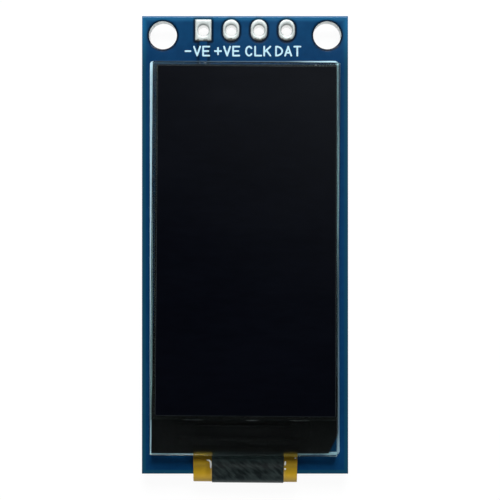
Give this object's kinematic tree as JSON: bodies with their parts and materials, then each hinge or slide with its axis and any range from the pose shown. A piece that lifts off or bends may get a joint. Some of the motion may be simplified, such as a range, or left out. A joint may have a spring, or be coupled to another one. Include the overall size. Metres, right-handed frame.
{
  "type": "oled display module",
  "caption": "Slim portrait display module: a black glass OLED panel on a blue circuit board, with an amber flex tail folded under one end and header pads at the other.",
  "frame": {"origin": "middle of the footprint, on the surface the module lies on with its screen up", "axes": "+X across the board to the right as the screen is read, +Y along the board towards the header pads, +Z out of the screen"},
  "size_m": [0.0188, 0.0426, 0.0038],
  "materials": {
    "solder_mask": "glossy blue solder mask over glass-fibre laminate",
    "tinned_copper": "bright tin over copper",
    "tape": "black double-sided tape",
    "clear_glass": "thin clear display glass",
    "polariser": "near-black polarising film, smooth",
    "desiccant": "white drying sheet",
    "pixels": "dark unlit pixel film",
    "silicon": "bare silicon die",
    "flex_amber": "amber polyimide film, smooth",
    "cover_black": "matt black cover film",
    "solder": "bright solder",
    "moulded_black": "black moulded package",
    "capacitor_tan": "tan capacitor ceramic",
    "resistor_black": "black glazed resistor face"
  },
  "bodies": {
    "root": {"printed_circuit_board": "solder_mask", "mounting_tape": "tape", "pin_pad_1": "tinned_copper", "pin_pad_2": "tinned_copper", "pin_pad_3": "tinned_copper", "pin_pad_4": "tinned_copper", "cap_glass": "clear_glass", "desiccant_sheet": "desiccant", "pixel_matrix": "pixels", "display_glass": "clear_glass", "polariser_film": "polariser", "driver_chip": "silicon", "shade_tape": "tape", "flex_tail": "flex_amber", "flex_cover_film": "cover_black", "flex_solder_joints": "solder", "regulator_body": "moulded_black", "regulator_leads": "tinned_copper", "input_capacitor_body": "capacitor_tan", "input_capacitor_ends": "tinned_copper", "output_capacitor_body": "capacitor_tan", "output_capacitor_ends": "tinned_copper", "clock_resistor_body": "resistor_black", "clock_resistor_ends": "tinned_copper", "data_resistor_body": "resistor_black", "data_resistor_ends": "tinned_copper", "address_resistor_body": "resistor_black", "address_resistor_ends": "tinned_copper", "pump_capacitor_one_body": "capacitor_tan", "pump_capacitor_one_ends": "tinned_copper", "pump_capacitor_two_body": "capacitor_tan", "pump_capacitor_two_ends": "tinned_copper", "logic_capacitor_body": "capacitor_tan", "logic_capacitor_ends": "tinned_copper", "panel_capacitor_body": "capacitor_tan", "panel_capacitor_ends": "tinned_copper", "common_capacitor_body": "capacitor_tan", "common_capacitor_ends": "tinned_copper", "current_resistor_body": "resistor_black", "current_resistor_ends": "tinned_copper", "reset_capacitor_body": "capacitor_tan", "reset_capacitor_ends": "tinned_copper", "reset_resistor_body": "resistor_black", "reset_resistor_ends": "tinned_copper", "component_solder": "solder"}
  },
  "joints": []
}
